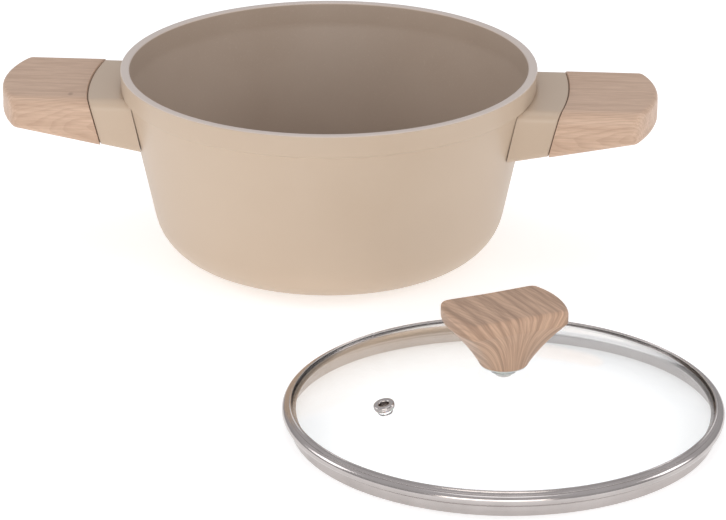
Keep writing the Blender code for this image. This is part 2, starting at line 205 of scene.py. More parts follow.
# %% Material starter
def new_material(name, metallic=0.0, **plain):
    material = bpy.data.materials.new(name)
    material.use_nodes = True
    tree = material.node_tree
    shader = tree.nodes["Principled BSDF"]
    shader.inputs["Metallic"].default_value = metallic
    for key, value in plain.items():
        shader.inputs[key.replace("_", " ")].default_value = value
    return material, tree, shader


def object_place(tree, centre=(0.0, 0.0, 0.0), turn=(0.0, 0.0, 0.0)):
    """Object coordinates, moved so that centre is zero and then turned."""
    coordinates = add_node(tree, "ShaderNodeTexCoord")
    mapping = add_node(tree, "ShaderNodeMapping", vector_type="TEXTURE")
    mapping.inputs["Location"].default_value = centre
    mapping.inputs["Rotation"].default_value = turn
    tree.links.new(coordinates.outputs["Object"], mapping.inputs["Vector"])
    return mapping.outputs["Vector"]


def use_group(tree, group, vector, **values):
    made = add_node(tree, "ShaderNodeGroup", node_tree=group)
    feed(tree, made.inputs["Vector"], vector)
    for key, value in values.items():
        made.inputs[key.replace("_", " ")].default_value = value
    return made.outputs


def bump(tree, shader, height, strength, distance):
    made = add_node(tree, "ShaderNodeBump")
    made.inputs["Strength"].default_value = strength
    made.inputs["Distance"].default_value = distance
    feed(tree, made.inputs["Height"], height)
    tree.links.new(made.outputs["Normal"], shader.inputs["Normal"])


print("materials can start")

# %% [markdown]
# ## The beige coatings
# The outside is a warm satin beige. The inside is a duller, slightly greyer non-stick layer, and its colour is
# darker than the outside, partly as painted shade for the deep hollow. The flat rim is polished smoother, and its
# paler colour is a painted sheen of the light from above. One recipe makes all three with different colours and
# roughness.

# %% Coatings
def coating(name, colour, paler, roughness, speck_size, speck_share, skin_depth):
    material, tree, shader = new_material(name, Coat_Weight=0.12, Coat_Roughness=0.25)
    grain = use_group(tree, coat_group, object_place(tree), Speck_Size=speck_size)
    base = blend(tree, sums(tree, "MULTIPLY", grain["Cloud"], 0.30), colour, paler)
    specks = sums(tree, "MULTIPLY", grain["Specks"], speck_share)
    feed(tree, shader.inputs["Base Color"], blend(tree, specks, base, paler))
    rough = sums(tree, "MULTIPLY_ADD", grain["Cloud"], 0.07, roughness)
    feed(tree, shader.inputs["Roughness"], rough)
    bump(tree, shader, grain["Height"], 0.10, skin_depth)
    return material


outside_coat = coating("beige_coating", (0.530, 0.413, 0.308), (0.572, 0.461, 0.355), 0.36, 1300.0, 0.22, 0.00012)
# The inside coat is darker than the outside: partly a greyer non-stick layer, partly painted shade for the deep
# hollow.
inside_coat_and_shade = coating("nonstick_inside_and_painted_shade", (0.425, 0.335, 0.265), (0.51, 0.42, 0.348), 0.44, 800.0, 0.38, 0.00018)
# The rim coat's paler colour is a painted sheen of the light from above on the up-facing flat rim; its lower roughness
# is the smoother finish.
rim_coat = coating("rim_coating_painted_sheen", (0.60, 0.515, 0.460), (0.66, 0.580, 0.525), 0.30, 1300.0, 0.15, 0.00008)
print("coatings:", outside_coat.name, inside_coat_and_shade.name, rim_coat.name)

# %% [markdown]
# ## The wood-effect finish
# Three tones are enough: a pale ground, a browner ring line and a darker fibre. The rings give
# the drawing, the streaks shift whole bands of it, and the fibres break up every edge. A knot
# is a small dark spot that the rings don't need to know about.

# %% Wood finish
def wood(name, centre, turn, width, bend_by, tilt, ring_share, streak_share, knot=None, printed=False,
         pale=(0.640, 0.452, 0.330), brown=(0.430, 0.275, 0.185)):
    material, tree, shader = new_material(name, Coat_Weight=0.04, Coat_Roughness=0.4)
    vector = object_place(tree, centre, turn)
    if printed:
        attribute = add_node(tree, "ShaderNodeAttribute", attribute_name="grain")
        shift = add_node(tree, "ShaderNodeMapping", vector_type="TEXTURE")
        shift.inputs["Location"].default_value = centre
        shift.inputs["Rotation"].default_value = turn
        tree.links.new(attribute.outputs["Vector"], shift.inputs["Vector"])
        vector = shift.outputs["Vector"]
    grain = use_group(tree, wood_group, vector, Ring_Width=width, Bend=bend_by, Tilt=tilt)
    dark = (0.260, 0.165, 0.115)
    base = blend(tree, sums(tree, "MULTIPLY", grain["Rings"], ring_share), pale, brown)
    base = blend(tree, sums(tree, "MULTIPLY", grain["Streaks"], streak_share), base, brown)
    base = blend(tree, sums(tree, "MULTIPLY", grain["Fibres"], 0.20), base, dark)
    if knot:
        near = add_node(tree, "ShaderNodeVectorMath", operation="DISTANCE")
        feed(tree, near.inputs[0], stretch(tree, object_place(tree), (1.0, 0.55, 0.2)))
        near.inputs[1].default_value = (knot[0], knot[1] * 0.55, knot[2] * 0.2)
        spot = spread(tree, near.outputs["Value"], 0.0005, 0.0022, 0.55, 0.0)
        base = blend(tree, spot, base, dark)
    feed(tree, shader.inputs["Base Color"], base)
    feed(tree, shader.inputs["Roughness"], sums(tree, "MULTIPLY_ADD", grain["Fibres"], 0.10, 0.42))
    bump(tree, shader, grain["Height"], 0.25, 0.00025)
    return material


print("wood recipe ready")

# %% [markdown]
# ## Steel and brass
# The lid's rim is polished steel with faint turning lines round its axis, so the lines follow the
# distance from that axis. The small fixings are plainer, and one recipe serves them all.

# %% Metals
def metal(name, colour, paler, roughness, lines, centre=(0.0, 0.0, 0.0)):
    material, tree, shader = new_material(name, metallic=1.0)
    vector = object_place(tree, centre)
    parts = add_node(tree, "ShaderNodeSeparateXYZ")
    feed(tree, parts.inputs[0], vector)
    flat = sums(tree, "MULTIPLY_ADD", parts.outputs["X"], parts.outputs["X"],
                sums(tree, "MULTIPLY", parts.outputs["Y"], parts.outputs["Y"]))
    ring = add_node(tree, "ShaderNodeCombineXYZ")
    feed(tree, ring.inputs[0], sums(tree, "SQRT", flat))
    feed(tree, ring.inputs[1], parts.outputs["Z"])
    turned = noise(tree, ring.outputs[0], lines, 3.0, 0.6)
    cloudy = noise(tree, vector, 60.0, 2.0, 0.5)
    feed(tree, shader.inputs["Base Color"], blend(tree, cloudy, colour, paler))
    feed(tree, shader.inputs["Roughness"], sums(tree, "MULTIPLY_ADD", turned, 0.12, roughness))
    bump(tree, shader, turned, 0.12, 0.00004)
    return material


lid_low, lid_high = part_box("lid_rim")
lid_centre = (lid_low + lid_high) / 2
lid_centre.z = 0.0
# The rim steel's warm, slightly dark tint is a painted reflection of the beige pot and the warm surroundings.
rim_steel = metal("polished_steel_painted_reflection", (0.43, 0.395, 0.380), (0.56, 0.520, 0.505), 0.12, 5200.0, tuple(lid_centre))
plain_steel = metal("turned_steel", (0.50, 0.48, 0.47), (0.62, 0.60, 0.58), 0.20, 2600.0)
spring_steel = metal("spring_steel", (0.30, 0.29, 0.28), (0.40, 0.39, 0.38), 0.32, 2600.0)
brass = metal("brass", (0.60, 0.43, 0.20), (0.72, 0.54, 0.28), 0.26, 2600.0)
print("metals:", rim_steel.name, plain_steel.name, spring_steel.name, brass.name)

# %% [markdown]
# ## Rubber and silicone
# The gaskets are dark moulded rubber and the seals clear silicone. Both share the fine speck of
# the coating, but softer and duller, so one recipe serves the two.

# %% Rubber and silicone
def soft_plastic(name, colour, paler, roughness, **plain):
    material, tree, shader = new_material(name, **plain)
    grain = use_group(tree, coat_group, object_place(tree), Speck_Size=1500.0)
    feed(tree, shader.inputs["Base Color"], blend(tree, grain["Cloud"], colour, paler))
    feed(tree, shader.inputs["Roughness"], sums(tree, "MULTIPLY_ADD", grain["Specks"], 0.12, roughness))
    bump(tree, shader, grain["Height"], 0.2, 0.0001)
    return material


seam_rubber = soft_plastic("seam_rubber", (0.135, 0.095, 0.070), (0.175, 0.130, 0.098), 0.70)
silicone = soft_plastic("clear_silicone", (0.68, 0.68, 0.66), (0.78, 0.78, 0.77), 0.38,
                        Subsurface_Weight=0.25, Subsurface_Scale=0.004)
print("soft finishes:", seam_rubber.name, silicone.name)

# %% [markdown]
# ## Glass
# Tempered glass is clear with a very faint tint. For shadow rays it turns transparent, because a
# thin pane hardly darkens what it stands on.

# %% Glass
lid_glass_finish, tree, shader = new_material("clear_glass", Transmission_Weight=1.0, IOR=1.47, Roughness=0.0)
grain = use_group(tree, coat_group, object_place(tree), Speck_Size=700.0)
feed(tree, shader.inputs["Base Color"], blend(tree, grain["Cloud"], (0.965, 0.975, 0.975), (0.985, 0.99, 0.99)))
feed(tree, shader.inputs["Roughness"], sums(tree, "MULTIPLY", grain["Specks"], 0.012))
clear = add_node(tree, "ShaderNodeBsdfTransparent")
clear.inputs["Color"].default_value = (0.97, 0.98, 0.98, 1.0)
path = add_node(tree, "ShaderNodeLightPath")
either = add_node(tree, "ShaderNodeMixShader")
out = tree.nodes["Material Output"]
tree.links.new(path.outputs["Is Shadow Ray"], either.inputs["Fac"])
tree.links.new(shader.outputs["BSDF"], either.inputs[1])
tree.links.new(clear.outputs["BSDF"], either.inputs[2])
tree.links.new(either.outputs["Shader"], out.inputs["Surface"])
print("glass ready")

# %% [markdown]
# ## Tools for turned pieces
# The pot, the lid's rim, the glass and the screws are all turned shapes: one line swept round an
# axis. The line is drawn as by hand, one point pushed out after another, and then spun. Spinning
# can turn a surface inside out, so doubles are merged and the normals recalculated after it.

# %% Selecting
def deselect():
    if bpy.context.mode != "OBJECT":
        bpy.ops.object.mode_set(mode="OBJECT")
    bpy.ops.object.select_all(action="DESELECT")


def pick(piece):
    deselect()
    piece.select_set(True)
    bpy.context.view_layer.objects.active = piece


def tidy_mesh(piece, angle=35.0):
    """Merges doubles, points the faces outwards and smooths what bends less than the angle."""
    pick(piece)
    bpy.ops.object.mode_set(mode="EDIT")
    bpy.ops.mesh.select_all(action="SELECT")
    bpy.ops.mesh.remove_doubles(threshold=0.00001)
    bpy.ops.mesh.normals_make_consistent(inside=False)
    bpy.ops.object.mode_set(mode="OBJECT")
    bpy.ops.object.shade_smooth_by_angle(angle=math.radians(angle))


print("selection starts empty:", len(bpy.context.selected_objects), "were selected by the loader")
deselect()

# %% [markdown]
# ## Rounding a line
# A pressed or cast part has no sharp corners. A profile is given as corners with a radius each,
# and this tool replaces every corner by a short arc, which is easier to read than many points.

# %% Rounded lines
def rounded(corners, segments=6):
    """A line through (radius, height, rounding) corners, with each corner filleted."""
    line = []
    for index, (r, z, size) in enumerate(corners):
        here = Vector((r, z))
        if size <= 0.0 or index in (0, len(corners) - 1):
            line.append((r, z))
            continue
        back = (Vector(corners[index - 1][:2]) - here).normalized()
        ahead = (Vector(corners[index + 1][:2]) - here).normalized()
        half = back.angle(ahead) / 2
        reach = size / math.tan(half)
        middle = here + (back + ahead).normalized() * (size / math.sin(half))
        first, last = here + back * reach - middle, here + ahead * reach - middle
        turn = first.angle_signed(last)
        for step in range(segments + 1):
            angle = -turn * step / segments
            line.append(tuple(middle + Vector((first.x * math.cos(angle) - first.y * math.sin(angle),
                                               first.x * math.sin(angle) + first.y * math.cos(angle)))))
    return line


def arc(centre, radius, start, end, count):
    turn = [math.radians(start + (end - start) * step / count) for step in range(count + 1)]
    return [(centre[0] + radius * math.cos(t), centre[1] + radius * math.sin(t)) for t in turn]


print("a filleted corner has", len(rounded([(0.0, 0.0, 0.0), (0.01, 0.0, 0.002), (0.01, 0.01, 0.0)])), "points")

# %% [markdown]
# ## Spinning a line
# On a lathe or in a press a turned part is one profile swept round an axis, and the spin tool
# does just that. An extrusion with a taper would not follow the rounded corners.

# %% Spinning a line
def spin_line(name, line, centre, steps, closed=False, angle=35.0):
    """Draws the line in the XZ plane beside centre and spins it round the upright axis there."""
    deselect()
    start = (centre[0] + line[0][0], centre[1], centre[2] + line[0][1])
    bpy.ops.mesh.primitive_plane_add(size=0.0001, location=start)
    piece = bpy.context.object
    piece.name = name
    bpy.ops.object.transform_apply(location=True, rotation=True, scale=True)
    bpy.ops.object.mode_set(mode="EDIT")
    bpy.ops.mesh.select_mode(type="VERT")
    bpy.ops.mesh.select_all(action="SELECT")
    bpy.ops.mesh.merge(type="CENTER")
    whole = line + line[:1] if closed else line
    for (r0, z0), (r1, z1) in zip(whole, whole[1:]):
        bpy.ops.mesh.extrude_vertices_move(TRANSFORM_OT_translate={"value": (r1 - r0, 0.0, z1 - z0)})
    bpy.ops.mesh.select_all(action="SELECT")
    bpy.ops.mesh.remove_doubles(threshold=0.000002)
    bpy.ops.mesh.select_all(action="SELECT")
    bpy.ops.mesh.spin(steps=steps, angle=2 * math.pi, center=centre, axis=(0.0, 0.0, 1.0))
    tidy_mesh(piece, angle)
    return piece


def show_made(piece):
    size = piece.dimensions
    print(piece.name, len(piece.data.polygons), "faces,", [round(v * 1000, 1) for v in size], "mm")


print("spin tool ready")

# %% [markdown]
# ## The pot
# The real pot is pressed or cast aluminium, with a thick rim band, a gently leaning wall and a
# large soft corner at the base. One closed line gives inside, rim, outside and underside. It is
# turned in 160 steps, so the rim stays round up close. The faces then get their coatings by
# where they are: the flat rim, the hollow, and all the rest.

# %% Pot shape
pot_low, pot_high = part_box("pot_shell")
rim_outer, pot_height = pot_high.x, pot_high.z
rim_inner, band, wall, floor_z = rim_outer - 0.0055, 0.013, 0.0029, 0.004
wall_top = (rim_outer - 0.0033, pot_height - band - 0.0012)
lean = 0.211
foot = wall_top[0] - lean * wall_top[1]
plate_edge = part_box("induction_base_plate")[1].x + 0.0003
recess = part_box("induction_base_plate")[1].z + 0.0003


def pot_radius(z):
    """The pot's outer radius where the handles meet it."""
    if z > pot_height - band:
        return rim_outer - 0.0007
    if z > wall_top[1]:
        return wall_top[0] + (z - wall_top[1]) * 1.6
    return wall_top[0] - lean * (wall_top[1] - z)


inner_foot = foot + lean * floor_z - wall * 1.02
pot_line = rounded([
    (0.0, floor_z, 0.0), (inner_foot, floor_z, 0.0291),
    (wall_top[0] - wall * 1.02, wall_top[1], 0.030),
    (rim_inner, pot_height, 0.0012), (rim_outer, pot_height, 0.0010),
    (rim_outer - 0.0006, pot_height - band + 0.0002, 0.0009),
    (wall_top[0], wall_top[1], 0.0022), (foot, 0.0, 0.032),
    (plate_edge, 0.0, 0.0003), (plate_edge, recess, 0.0), (0.0, recess, 0.0)], segments=10)
pot = spin_line("pot_body", pot_line, (0.0, 0.0, 0.0), 160)
for material in (outside_coat, inside_coat_and_shade, rim_coat):
    pot.data.materials.append(material)
# Faces that look up at the rim take the paler rim coat, a painted sheen from above; faces in the hollow take the
# darker inside coat, partly painted shade.
for face in pot.data.polygons:
    across_face = math.hypot(face.center.x, face.center.y)
    inward = -(face.normal.x * face.center.x + face.normal.y * face.center.y)
    if face.center.z > pot_height - 0.0006 and face.normal.z > 0.5:
        face.material_index = 2
    elif across_face < rim_inner and face.center.z > floor_z - 0.0005 and (inward > 0 or face.normal.z > 0.5):
        face.material_index = 1
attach(pot, "pot")
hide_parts("pot_shell")
show_made(pot)

# %% [markdown]
# ## Rolling a sheet round a handle
# The handles are not turned: their cross-section is a rounded rectangle, one end follows a
# curve, and the underside slopes. Here a flat grid is added and rolled round the shape like
# paper round a block. Each row of the grid becomes one ring, and the last rings shrink to a
# point, which closes the end.

# %% Rolling tool
def roll(name, rings, angle=35.0, flow=None):
    """Rolls a grid round the rings. Flow may give each point its place in a printed pattern."""
    deselect()
    count, rows = len(rings[0]), len(rings) - 1
    bpy.ops.mesh.primitive_grid_add(x_subdivisions=count, y_subdivisions=rows, size=2.0)
    piece = bpy.context.object
    piece.name = name
    for vertex in piece.data.vertices:
        column = round((vertex.co.x + 1.0) / 2.0 * count) % count
        row = round((vertex.co.y + 1.0) / 2.0 * rows)
        vertex.co = rings[row][column]
        if flow:
            pattern = piece.data.attributes.get("grain") or piece.data.attributes.new("grain", "FLOAT_VECTOR", "POINT")
            pattern.data[vertex.index].vector = flow[row][column]
    tidy_mesh(piece, angle)
    return piece


def section(half, top, bottom, upper, lower):
    """Points round a rectangle with rounded corners, always the same number of them."""
    points = []
    corners = [(half - upper, top - upper, upper, 0.0, 4), (upper - half, top - upper, upper, 90.0, 14),
               (lower - half, bottom + lower, lower, 180.0, 4), (half - lower, bottom + lower, lower, 270.0, 14)]
    turned = corners[1:] + corners[:1]
    for (y, z, size, start, _), (y2, z2, size2, _, fill) in zip(corners, turned):
        bend_points = arc((y, z), size, start, start + 90.0, 7)
        points.extend(bend_points)
        end = bend_points[-1]
        begin = (y2 + size2 * math.cos(math.radians(start + 90.0)), z2 + size2 * math.sin(math.radians(start + 90.0)))
        points.extend((end[0] + (begin[0] - end[0]) * k / fill, end[1] + (begin[1] - end[1]) * k / fill)
                      for k in range(1, fill))
    return points


print("a handle ring has", len(section(0.04, 0.1, 0.07, 0.007, 0.0045)), "points")

# %% [markdown]
# ## The handle's lines
# Two curves shape a handle seen from above: the seam between the coated neck and the grip, and
# the grip's outer end. The seam also leans inwards towards the underside. Where the neck meets
# the pot, its end follows the leaning round wall with a hairline gap.

# %% Handle lines
grip_low, grip_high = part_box("handle_grip_right")
half_width, handle_top, tip = grip_high.y, grip_high.z, grip_high.x
seam, root, slope = 0.1442, 0.0272, 0.19


def seam_line(y, z):
    return seam - 0.0040 * (y / half_width) ** 2 - 0.0072 * (handle_top - z) / root


def tip_line(y, z):
    share = min(abs(y) / half_width, 1.0)
    return tip - 0.0105 * share ** 2 - 0.0022 * share ** 8


def wall_line(y, z):
    return math.sqrt((pot_radius(z) + 0.0003) ** 2 - y ** 2)


def handle_ring(line, shift, inset, shrink, radii, side):
    """One ring of a handle piece on an end line, moved along it, drawn in and shrunk."""
    middle_x = line(0.0, handle_top - root / 2) + shift
    bottom = handle_top - root + slope * (middle_x - seam) + inset
    top, half = handle_top - inset, half_width - inset
    upper, lower = max(radii[0] - inset, 0.0004), max(radii[1] - inset, 0.0004)
    centre = (top + bottom) / 2
    ring = []
    for y, z in section(half, top, bottom, upper, lower):
        y, z = y * shrink, centre + (z - centre) * shrink
        x = line(y, z) + shift
        z += slope * (x - middle_x) * (top - z) / (top - bottom)
        ring.append((x * side, y * side, z))
    return ring


print("seam at", seam, "tip at", round(tip, 4))

# %% [markdown]
# ## Grips
# Each grip is a moulded block, thicker at the seam than at the end, with generous rounded long
# edges and a softer rounded outer end. Rings run from the seam to the tip; between them the
# shape is a straight blend of the two end lines. The screw pockets are cut from below.

# %% Grip tool
def between(share):
    """A line part of the way from the seam to the tip."""
    return lambda y, z: (seam_line(y, z) + 0.0003) * (1.0 - share) + tip_line(y, z) * share


def make_grip(name, side, material):
    radii, end = (0.0070, 0.0045), 0.0030
    rings = [handle_ring(between(0.0), 0.0, 0.0004, shrink, radii, side) for shrink in (0.0, 0.4, 0.8, 1.0)]
    rings += [handle_ring(between(0.0), 0.0001, 0.0001, 1.0, radii, side)]
    rings += [handle_ring(between(0.0), 0.0004, 0.0, 1.0, radii, side)]
    rings += [handle_ring(between(step / 12), 0.0, 0.0, 1.0, radii, side) for step in range(1, 12)]
    for step in range(7):
        angle = math.radians(15.0 * step)
        out_by, inset = end * math.sin(angle) - end, end - end * math.cos(angle)
        rings.append(handle_ring(tip_line, out_by, inset, 1.0, radii, side))
    rings += [handle_ring(tip_line, 0.0, end, shrink, radii, side) for shrink in (0.85, 0.6, 0.3, 0.0)]
    grip = roll(name, rings)
    grip.data.materials.append(material)
    return grip


def cut_pocket(piece, place, radius, top):
    """Cuts a round pocket from below with a Boolean that is then applied."""
    deselect()
    bpy.ops.mesh.primitive_cylinder_add(vertices=40, radius=radius, depth=0.04,
                                        location=(place[0], place[1], top - 0.02))
    cutter = bpy.context.object
    pick(piece)
    modifier = piece.modifiers.new("pocket", "BOOLEAN")
    modifier.operation = "DIFFERENCE"
    modifier.solver = "EXACT"
    modifier.object = cutter
    bpy.ops.object.modifier_apply(modifier="pocket")
    bpy.data.objects.remove(cutter)


print("grip tool ready")

# %% [markdown]
# ## The two grips
# Both grips are the same moulding, mirrored. Each gets its own wood finish, so that the printed
# grain differs, and two pockets are cut from below for the screws.

# %% Both grips
grip_woods = {
    "right": wood("wood_right", (0.150, -0.052, 0.088), (0.0, 0.0, 0.0), 0.0019, 0.008, 0.16, 0.34, 0.45),
    "left": wood("wood_left", (-0.160, -0.054, 0.086), (0.0, 0.0, math.pi), 0.0020, 0.009, 0.14, 0.34, 0.45,
                 knot=(-0.152, -0.030, 0.104))}
for side, sign in (("right", 1.0), ("left", -1.0)):
    grip = make_grip("grip_" + side, sign, grip_woods[side])
    for number in (1, 2):
        low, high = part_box(f"grip_screw_{side}_{number}")
        middle = (low + high) / 2
        cut_pocket(grip, (middle.x, middle.y), 0.0052, 0.0889)
    pick(grip)
    bpy.ops.object.shade_smooth_by_angle(angle=math.radians(35.0))
    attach(grip, "pot")
    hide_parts("handle_grip_" + side)
    show_made(grip)

# %% [markdown]
# ## Necks
# The neck is the coated root of the handle. It is drawn in slightly against the grip, so that a
# fine step shows at the seam, and its inner end hugs the wall.

# %% Both necks
def neck_between(share):
    return lambda y, z: wall_line(y, z) * (1.0 - share) + (seam_line(y, z) - 0.0003) * share


def make_neck(name, side):
    radii, step_in = (0.0070, 0.0045), 0.0007
    rings = [handle_ring(wall_line, 0.0, step_in, shrink, radii, side) for shrink in (0.0, 0.35, 0.7, 0.9, 1.0)]
    rings += [handle_ring(neck_between(step / 10), 0.0, step_in, 1.0, radii, side) for step in range(1, 10)]
    rings += [handle_ring(neck_between(1.0), -0.0004, step_in, 1.0, radii, side)]
    rings += [handle_ring(neck_between(1.0), 0.0, step_in + 0.0003, shrink, radii, side)
              for shrink in (1.0, 0.7, 0.35, 0.0)]
    neck = roll(name, rings)
    neck.data.materials.append(outside_coat)
    return neck


for side, sign in (("right", 1.0), ("left", -1.0)):
    neck = make_neck("neck_" + side, sign)
    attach(neck, "pot")
    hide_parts("handle_neck_" + side)
    show_made(neck)

# %% [markdown]
# ## Screws under the grips
# Four equal pan-head screws with a hexagon socket hold the grips from below. One is spun and its
# socket cut, then it is copied to the other three places, each copy with its own mesh.

# %% Screws
def socket(piece, centre, across_flats, bottom, top):
    deselect()
    bpy.ops.mesh.primitive_cylinder_add(vertices=6, radius=across_flats / math.sqrt(3), depth=top - bottom,
                                        location=(centre[0], centre[1], (top + bottom) / 2))
    cutter = bpy.context.object
    pick(piece)
    modifier = piece.modifiers.new("socket", "BOOLEAN")
    modifier.operation = "DIFFERENCE"
    modifier.object = cutter
    bpy.ops.object.modifier_apply(modifier="socket")
    bpy.data.objects.remove(cutter)
    bpy.ops.object.shade_smooth_by_angle(angle=math.radians(35.0))


first_low, first_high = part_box("grip_screw_right_1")
first_middle = (first_low + first_high) / 2
head, under = first_low.z, 0.0028
screw_line = rounded([(0.0, first_high.z, 0.0), (0.0023, first_high.z, 0.0003), (0.0023, head + under, 0.0),
                      (0.0044, head + under, 0.0004), (0.0044, head + 0.0008, 0.0006), (0.0036, head, 0.0006),
                      (0.0, head, 0.0)], segments=4)
screw = spin_line("screw_right_1", screw_line, (first_middle.x, first_middle.y, 0.0), 36)
socket(screw, (first_middle.x, first_middle.y), 0.0027, head - 0.001, head + 0.0016)
screw.data.materials.append(plain_steel)
screws = {"right_1": screw}
for place in ("right_2", "left_1", "left_2"):
    low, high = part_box("grip_screw_" + place)
    pick(screw)
    bpy.ops.object.duplicate(linked=False)
    copy = bpy.context.object
    copy.name = "screw_" + place
    copy.location = (low + high) / 2 - first_middle
    bpy.ops.object.transform_apply(location=True, rotation=True, scale=True)
    screws[place] = copy
for place, piece in screws.items():
    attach(piece, "pot")
    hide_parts("grip_screw_" + place)
print("screws:", len(screws))

# %% [markdown]
# ## The glass
# The lid is a shallow dome of tempered glass, four millimetres thick, part of a large sphere.
# The line follows the sphere outside and inside with a rounded edge. A hole takes the vent.

# %% Glass dome
glass_low, glass_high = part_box("lid_glass")
glass_edge, thick, dome_top = 0.1180, 0.004, glass_high.z
rise = dome_top - 0.0079 - thick
sphere = (glass_edge ** 2 + rise ** 2) / (2 * rise)


def dome(radius, depth=0.0):
    return dome_top - sphere + math.sqrt((sphere - depth) ** 2 - radius ** 2)


outer_radii = [0.0041 + (glass_edge - 0.0053) * step / 28 for step in range(29)]
outer_face = [(radius, dome(radius)) for radius in outer_radii]
edge_middle = (dome(glass_edge - 0.0012) + dome(glass_edge - 0.0012, thick)) / 2
edge_round = [(glass_edge - 0.0012 + 0.0012 * math.sin(math.radians(a)),
               edge_middle + (dome(glass_edge - 0.0012) - edge_middle) * math.cos(math.radians(a)))
              for a in (30, 60, 90, 120, 150)]
inner_face = [(radius, dome(radius, thick)) for radius in outer_radii[::-1]]
glass_line = outer_face + edge_round + inner_face
glass = spin_line("lid_glass_dome", glass_line, tuple(lid_centre), 160, closed=True, angle=50.0)
glass.data.materials.append(lid_glass_finish)
vent_low, vent_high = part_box("vent_eyelet")
vent_middle = (vent_low + vent_high) / 2
toward = Vector((vent_middle.x - lid_centre.x, vent_middle.y - lid_centre.y, 0.0))
vent_distance = 0.0750
vent_place = lid_centre + toward.normalized() * vent_distance + Vector((0.0, 0.0, dome(vent_distance)))
vent_axis = (vent_place - (lid_centre + Vector((0.0, 0.0, dome_top - sphere)))).normalized()
vent_turn = vent_axis.to_track_quat("Z", "Y").to_euler()
deselect()
bpy.ops.mesh.primitive_cylinder_add(vertices=40, radius=0.0037, depth=0.02,
                                    location=vent_place, rotation=vent_turn)
drill = bpy.context.object
pick(glass)
hole = glass.modifiers.new("vent", "BOOLEAN")
hole.operation = "DIFFERENCE"
hole.object = drill
bpy.ops.object.modifier_apply(modifier="vent")
bpy.data.objects.remove(drill)
pick(glass)
bpy.ops.object.shade_smooth_by_angle(angle=math.radians(40.0))
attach(glass, "lid")
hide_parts("lid_glass")
show_made(glass)

# %% [markdown]
# ## The steel rim
# The rim is one strip of steel rolled round the edge of the glass: a thin lip on top, a round
# bead outside, a groove under it and a skirt that sits in the pot. All of it is one closed line.

# %% Rim
rim_radius = (lid_high.x - lid_low.x) / 2
lip = dome(glass_edge - 0.003) + 0.0007
ledge = dome(glass_edge - 0.002, thick) - 0.0009
skirt = 0.1162
bead = arc((rim_radius - 0.0030, 0.0098), 0.0030, 108.0, -78.0, 16)
rim_line = rounded([(glass_edge - 0.0024, lip, 0.0), (glass_edge - 0.0024, lip + 0.0006, 0.00025),
                    (glass_edge - 0.0017, lip + 0.0005, 0.0003), (glass_edge - 0.0011, 0.01305, 0.0002),
                    (*bead[0], 0.0)], segments=4)[:-1]
rim_line += bead
rim_line += rounded([bead[-1] + (0.0,), (skirt + 0.0010, 0.0066, 0.0002), (skirt, 0.0052, 0.0008),
                     (skirt, 0.0, 0.0003), (skirt - 0.0008, 0.0, 0.0003), (skirt - 0.0008, 0.0050, 0.0008),
                     (skirt - 0.0040, ledge - 0.0004, 0.0004), (skirt - 0.0042, ledge + 0.0004, 0.0002),
                     (glass_edge - 0.0015, ledge, 0.0), (glass_edge + 0.0003, ledge, 0.0),
                     (glass_edge + 0.0003, lip - 0.0008, 0.0), (glass_edge - 0.0024, lip, 0.0)], segments=4)[1:-1]
rim = spin_line("lid_rolled_rim", rim_line, tuple(lid_centre), 192, closed=True, angle=50.0)
rim.data.materials.append(rim_steel)
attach(rim, "lid")
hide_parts("lid_rim")
show_made(rim)

# %% [markdown]
# ## The steam vent
# A steel eyelet is pressed through the glass, square to its slope. Its flange is a thick rolled
# ring with a small hole. It is spun upright, then tilted into place.

# %% Vent
tube, flange, bore = 0.0033, 0.0057, 0.0027
vent_line = [(tube, -thick - 0.0003), (tube, 0.0007), (flange - 0.0004, 0.0007), (flange, 0.0010)]
vent_line += arc((flange - 0.0010, 0.0022), 0.0010, 0.0, 90.0, 7)
vent_line += arc((bore + 0.0010, 0.0022), 0.0010, 90.0, 180.0, 6)
vent_line += [(bore, -thick - 0.0008), (0.0039, -thick - 0.0008), (0.0041, -thick - 0.0003)]
vent = spin_line("vent_ring", vent_line, (0.0, 0.0, 0.0), 48, closed=True)
vent.data.materials.append(rim_steel)
pick(vent)
vent.location = vent_place
vent.rotation_euler = vent_turn
bpy.ops.object.transform_apply(location=True, rotation=True, scale=True)
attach(vent, "lid")
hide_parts("vent_eyelet")
show_made(vent)

# %% [markdown]
# ## The knob
# The knob flares from a round foot to a wide top with two straight and two bowed sides. Rings
# run up from the foot, blend towards the top's outline, go straight up its band, round over the
# edge and close in the middle. The rolling tool makes it in one go.

# %% Knob
knob_low, knob_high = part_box("lid_knob")
foot_z, crown = knob_low.z, knob_high.z
half_length, half_side, side_arc, foot_radius = 0.0330, 0.0210, 0.050, 0.0136
knob_turn = math.radians(35.0 - 6.5)


def knob_outline(angle):
    sine, cosine = abs(math.sin(angle)), abs(math.cos(angle))
    back = side_arc - half_length
    to_arc = -back * cosine + math.sqrt(side_arc ** 2 - (back * sine) ** 2)
    to_side = half_side / max(sine, 0.001)
    return (to_arc ** -28 + to_side ** -28) ** (-1 / 28)


def knob_ring(height, blend_by, inset, shrink=1.0, count=168):
    ring = []
    for step in range(count):
        angle = 2 * math.pi * step / count
        radius = (foot_radius + (knob_outline(angle) - foot_radius) * blend_by - inset) * shrink
        way = angle + knob_turn
        ring.append((lid_centre.x + radius * math.cos(way), lid_centre.y + radius * math.sin(way), height))
    return ring


